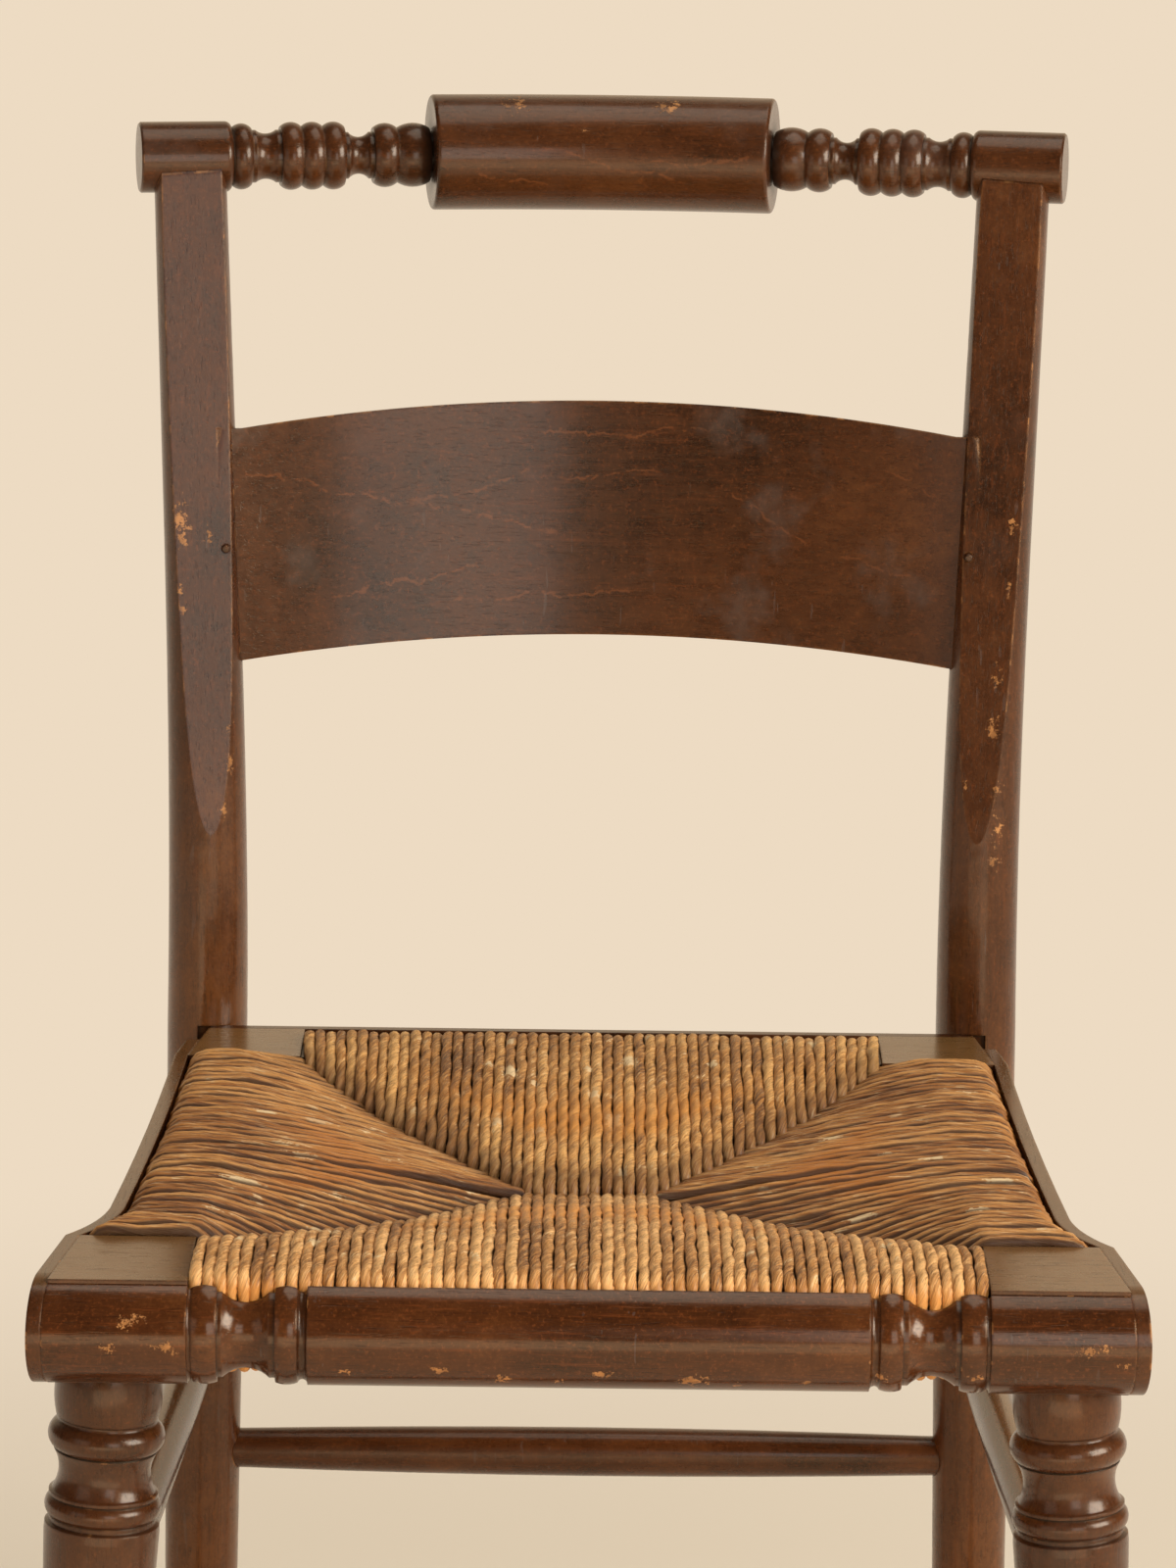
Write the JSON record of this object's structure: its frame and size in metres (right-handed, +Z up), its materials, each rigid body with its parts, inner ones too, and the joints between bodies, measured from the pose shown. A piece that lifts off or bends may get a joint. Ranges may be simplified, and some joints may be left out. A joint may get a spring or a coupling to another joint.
{
  "type": "rush-seat dining chair",
  "caption": "Dark stained wooden side chair with a pillow crest rail, a bowed back slat, a four-panel rush seat and a turned front roll.",
  "frame": {"origin": "on the floor, under the middle of the chair's bounding box", "axes": "the chair faces -Y, +X is on the right when the chair is seen from the front, +Z is up"},
  "size_m": [0.456, 0.5364, 0.8657],
  "materials": {
    "stained_wood": "satin lacquer, worn at the edges",
    "rush": "twisted rush, lightly varnished",
    "stuffing": "dry rush, matte",
    "steel": "dull, darkened"
  },
  "bodies": {
    "root": {"front_rail": "stained_wood", "back_rail": "stained_wood", "side_rail_right": "stained_wood", "side_rail_left": "stained_wood", "front_roll": "stained_wood", "side_strip_right": "stained_wood", "side_strip_left": "stained_wood", "back_strip": "stained_wood", "crest_rail": "stained_wood", "back_slat": "stained_wood", "back_post_right": "stained_wood", "back_post_left": "stained_wood", "front_leg_right": "stained_wood", "front_leg_left": "stained_wood", "front_stretcher": "stained_wood", "rear_stretcher": "stained_wood", "upper_stretcher_right": "stained_wood", "upper_stretcher_left": "stained_wood", "lower_stretcher_right": "stained_wood", "lower_stretcher_left": "stained_wood", "slat_pins": "stained_wood", "rush_front": "rush", "rush_back": "rush", "rush_right": "rush", "rush_left": "rush", "rush_stuffing": "stuffing", "post_screws": "steel", "strip_nails": "steel"}
  },
  "joints": []
}
